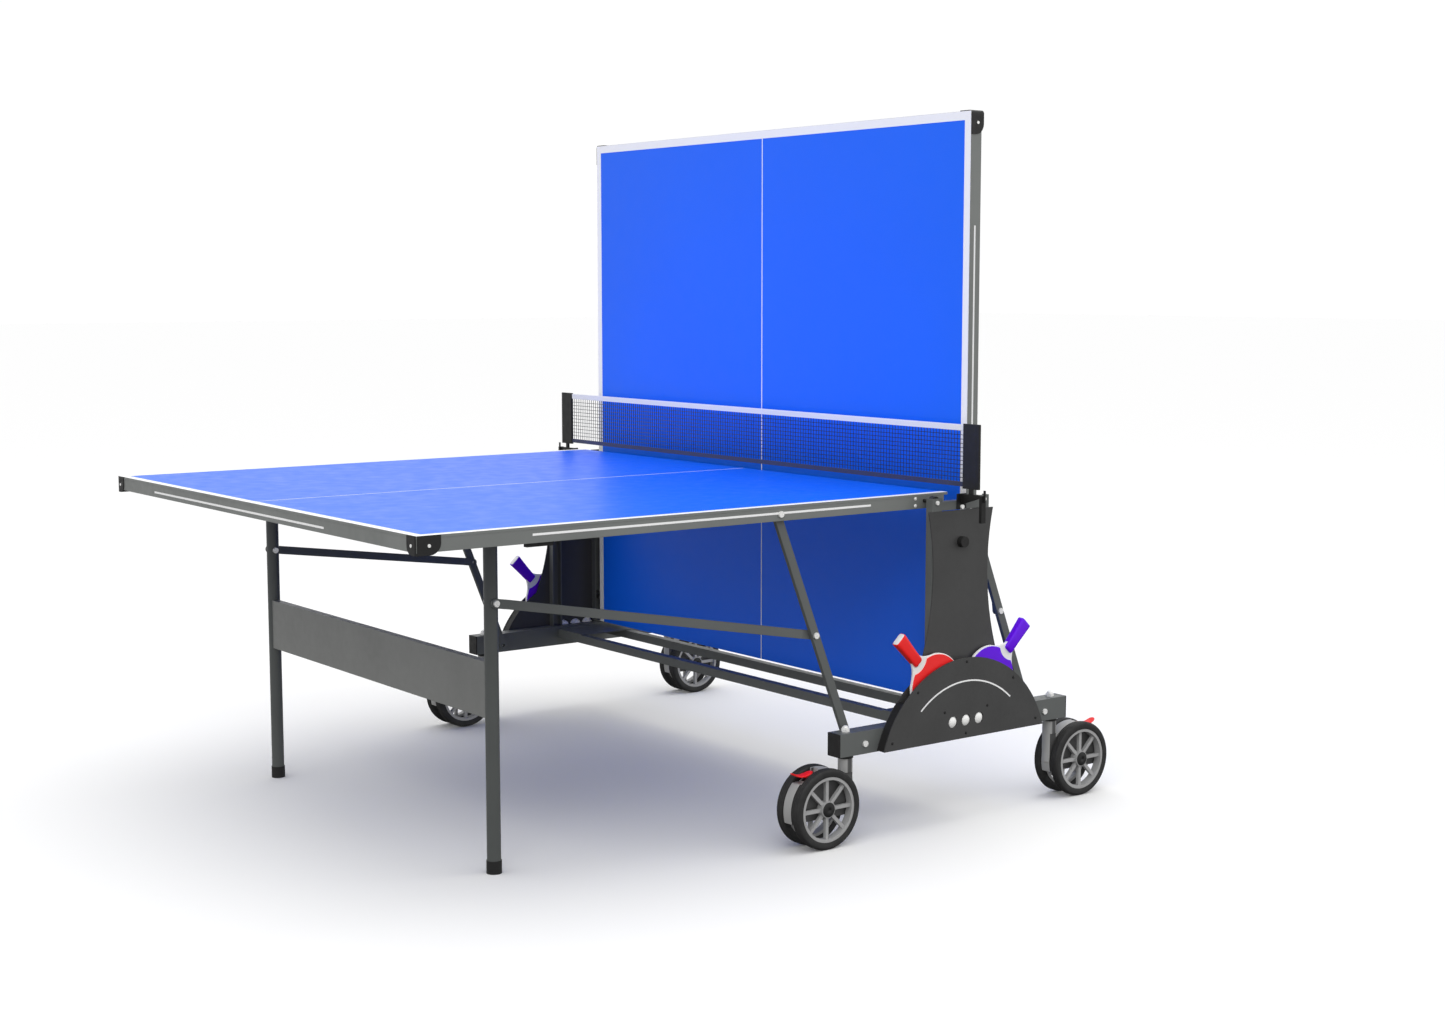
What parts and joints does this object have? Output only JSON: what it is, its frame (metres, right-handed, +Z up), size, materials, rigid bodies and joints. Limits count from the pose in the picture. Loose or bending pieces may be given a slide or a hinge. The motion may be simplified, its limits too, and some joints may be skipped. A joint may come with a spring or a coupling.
{
  "type": "folding ping pong table",
  "caption": "Roll-away folding ping pong table in one-player position: one half level on its legs, the other stood up behind the net, on a wheeled chassis.",
  "frame": {"origin": "on the floor, at the middle of the footprint of the whole table", "axes": "+X along the table from the playing end towards the stood-up half, +Y across the table to the far side, +Z up"},
  "size_m": [1.8646, 1.769, 1.6255],
  "materials": {
    "board": "glossy bright blue lacquer on the playing face",
    "apron": "grey powder coat, satin",
    "corner_cap": "black moulded plastic",
    "bolt": "bright zinc plating",
    "bush": "black nylon",
    "roller": "black nylon",
    "strut": "grey powder coat, satin",
    "leg": "dark grey powder coat, satin",
    "leg_panel": "dark grey powder coat, satin",
    "foot": "black moulded plastic",
    "link": "grey powder coat, satin",
    "rail": "grey powder coat, satin",
    "rail_cap": "black moulded plastic",
    "cross_bar": "grey powder coat, satin",
    "track": "grey powder coat, satin",
    "side_sheet": "dark grey powder coat, satin",
    "holder_panel": "dark grey moulded plastic",
    "spacer": "black moulded plastic",
    "ball": "matt white celluloid-like plastic",
    "net_bracket": "black powder coat",
    "net_post": "black powder coat",
    "net": "dark open mesh with a white top tape",
    "collar": "black nylon",
    "fork": "mid grey moulded plastic",
    "tyre": "black rubber",
    "hub": "mid grey moulded plastic",
    "pedal": "bright red plastic",
    "racket_red": "red rubber face, white handle",
    "racket_purple": "purple rubber face, white handle"
  },
  "bodies": {
    "chassis": {"side_rails": "rail", "rail_end_caps": "rail_cap", "cross_bars": "cross_bar", "chassis_plates": "rail", "guide_tracks": "track", "side_sheets": "side_sheet", "holder_panels": "holder_panel", "holder_spacers": "spacer", "balls": "ball", "net_brackets": "net_bracket", "net_posts": "net_post", "net": "net", "chassis_bolts": "bolt", "swivel_collars": "collar"},
    "play_carriage": {"play_track_rollers": "roller"},
    "play_top": {"play_board": "board", "play_frame": "apron", "play_corner_caps": "corner_cap", "play_pivot_bolts": "bolt", "play_leg_bushes": "bush"},
    "play_struts_body": {"play_struts": "strut", "play_strut_bolts": "bolt"},
    "play_legs_body": {"play_legs": "leg", "play_leg_panel": "leg_panel", "play_feet": "foot", "play_leg_bolts": "bolt"},
    "play_links_body": {"play_links": "link"},
    "back_carriage": {"back_track_rollers": "roller"},
    "back_top": {"back_board": "board", "back_frame": "apron", "back_corner_caps": "corner_cap", "back_pivot_bolts": "bolt", "back_leg_bushes": "bush"},
    "back_struts_body": {"back_struts": "strut", "back_strut_bolts": "bolt"},
    "back_legs_body": {"back_legs": "leg", "back_leg_panel": "leg_panel", "back_feet": "foot", "back_leg_bolts": "bolt"},
    "back_links_body": {"back_links": "link"},
    "caster_fork_play_near": {"fork_play_near": "fork"},
    "caster_wheels_play_near": {"tyres_play_near": "tyre", "hubs_play_near": "hub"},
    "caster_pedal_play_near": {"pedal_play_near": "pedal"},
    "caster_fork_play_far": {"fork_play_far": "fork"},
    "caster_wheels_play_far": {"tyres_play_far": "tyre", "hubs_play_far": "hub"},
    "caster_pedal_play_far": {"pedal_play_far": "pedal"},
    "caster_fork_back_near": {"fork_back_near": "fork"},
    "caster_wheels_back_near": {"tyres_back_near": "tyre", "hubs_back_near": "hub"},
    "caster_pedal_back_near": {"pedal_back_near": "pedal"},
    "caster_fork_back_far": {"fork_back_far": "fork"},
    "caster_wheels_back_far": {"tyres_back_far": "tyre", "hubs_back_far": "hub"},
    "caster_pedal_back_far": {"pedal_back_far": "pedal"},
    "racket_near_left_body": {"racket_near_left": "racket_red"},
    "racket_near_right_body": {"racket_near_right": "racket_purple"},
    "racket_far_left_body": {"racket_far_left": "racket_purple"},
    "racket_far_right_body": {"racket_far_right": "racket_red"}
  },
  "joints": [
    {"name": "play_slide", "type": "slide", "parent": "chassis", "child": "play_carriage", "axis": [0, 0, 1], "range_m": [-0.42, 0]},
    {"name": "play_fold", "type": "hinge", "parent": "play_carriage", "child": "play_top", "pos_m": [0.36875, 0, 0.7445], "axis": [0, 1, 0], "range_deg": [0, 90]},
    {"name": "play_strut_pivot", "type": "hinge", "parent": "play_top", "child": "play_struts_body", "pos_m": [-0.04825, 0, 0.7415], "axis": [0, 1, 0], "range_deg": [-46.8, 0]},
    {"name": "play_leg_pivot", "type": "hinge", "parent": "play_top", "child": "play_legs_body", "pos_m": [-0.63075, 0, 0.7415], "axis": [0, 1, 0], "range_deg": [-82.8, 0]},
    {"name": "play_link_pivot", "type": "hinge", "parent": "play_legs_body", "child": "play_links_body", "pos_m": [-0.63075, 0, 0.57618], "axis": [0, 1, 0], "range_deg": [0, 80.9]},
    {"name": "back_slide", "type": "slide", "parent": "chassis", "child": "back_carriage", "axis": [0, 0, 1], "range_m": [0, 0.42]},
    {"name": "back_fold", "type": "hinge", "parent": "back_carriage", "child": "back_top", "pos_m": [0.51575, 0, 0.3245], "axis": [0, 1, 0], "range_deg": [0, 90]},
    {"name": "back_strut_pivot", "type": "hinge", "parent": "back_top", "child": "back_struts_body", "pos_m": [0.51875, 0, 0.7415], "axis": [0, 1, 0], "range_deg": [-46.8, 0]},
    {"name": "back_leg_pivot", "type": "hinge", "parent": "back_top", "child": "back_legs_body", "pos_m": [0.51875, 0, 1.324], "axis": [0, 1, 0], "range_deg": [-82.8, 0]},
    {"name": "back_link_pivot", "type": "hinge", "parent": "back_legs_body", "child": "back_links_body", "pos_m": [0.53969, 0, 1.16002], "axis": [0, 1, 0], "range_deg": [0, 80.9]},
    {"name": "swivel_play_near", "type": "hinge", "parent": "chassis", "child": "caster_fork_play_near", "pos_m": [0.11925, -0.785, 0.15], "axis": [0, 0, 1], "continuous": true},
    {"name": "roll_play_near", "type": "hinge", "parent": "caster_fork_play_near", "child": "caster_wheels_play_near", "pos_m": [0.04225, -0.785, 0.09], "axis": [0, 1, 0], "continuous": true},
    {"name": "brake_play_near", "type": "hinge", "parent": "caster_fork_play_near", "child": "caster_pedal_play_near", "pos_m": [0.02425, -0.785, 0.152], "axis": [0, -1, 0], "range_deg": [0, 12]},
    {"name": "swivel_play_far", "type": "hinge", "parent": "chassis", "child": "caster_fork_play_far", "pos_m": [0.11925, 0.785, 0.15], "axis": [0, 0, 1], "continuous": true},
    {"name": "roll_play_far", "type": "hinge", "parent": "caster_fork_play_far", "child": "caster_wheels_play_far", "pos_m": [0.04225, 0.785, 0.09], "axis": [0, 1, 0], "continuous": true},
    {"name": "brake_play_far", "type": "hinge", "parent": "caster_fork_play_far", "child": "caster_pedal_play_far", "pos_m": [0.02425, 0.785, 0.152], "axis": [0, -1, 0], "range_deg": [0, 12]},
    {"name": "swivel_back_near", "type": "hinge", "parent": "chassis", "child": "caster_fork_back_near", "pos_m": [0.76525, -0.785, 0.15], "axis": [0, 0, 1], "continuous": true},
    {"name": "roll_back_near", "type": "hinge", "parent": "caster_fork_back_near", "child": "caster_wheels_back_near", "pos_m": [0.84225, -0.785, 0.09], "axis": [0, 1, 0], "continuous": true},
    {"name": "brake_back_near", "type": "hinge", "parent": "caster_fork_back_near", "child": "caster_pedal_back_near", "pos_m": [0.86025, -0.785, 0.152], "axis": [0, 1, 0], "range_deg": [0, 12]},
    {"name": "swivel_back_far", "type": "hinge", "parent": "chassis", "child": "caster_fork_back_far", "pos_m": [0.76525, 0.785, 0.15], "axis": [0, 0, 1], "continuous": true},
    {"name": "roll_back_far", "type": "hinge", "parent": "caster_fork_back_far", "child": "caster_wheels_back_far", "pos_m": [0.84225, 0.785, 0.09], "axis": [0, 1, 0], "continuous": true},
    {"name": "brake_back_far", "type": "hinge", "parent": "caster_fork_back_far", "child": "caster_pedal_back_far", "pos_m": [0.86025, 0.785, 0.152], "axis": [0, 1, 0], "range_deg": [0, 12]},
    {"name": "draw_racket_near_left", "type": "slide", "parent": "chassis", "child": "racket_near_left_body", "axis": [-0.6884, 0, 0.7254], "range_m": [0, 0.2]},
    {"name": "draw_racket_near_right", "type": "slide", "parent": "chassis", "child": "racket_near_right_body", "axis": [0.6884, 0, 0.7254], "range_m": [0, 0.2]},
    {"name": "draw_racket_far_left", "type": "slide", "parent": "chassis", "child": "racket_far_left_body", "axis": [-0.6884, 0, 0.7254], "range_m": [0, 0.2]},
    {"name": "draw_racket_far_right", "type": "slide", "parent": "chassis", "child": "racket_far_right_body", "axis": [0.6884, 0, 0.7254], "range_m": [0, 0.2]}
  ],
  "couplings": [
    {"joint": "play_slide", "follows": "play_fold", "m_per_rad": -0.26738},
    {"joint": "play_strut_pivot", "follows": "play_fold", "ratio": -0.51973},
    {"joint": "play_leg_pivot", "follows": "play_fold", "ratio": -0.91914},
    {"joint": "play_link_pivot", "follows": "play_fold", "ratio": 0.89812},
    {"joint": "back_slide", "follows": "back_fold", "m_per_rad": 0.26738},
    {"joint": "back_strut_pivot", "follows": "back_fold", "ratio": -0.51973},
    {"joint": "back_leg_pivot", "follows": "back_fold", "ratio": -0.91914},
    {"joint": "back_link_pivot", "follows": "back_fold", "ratio": 0.89812}
  ]
}
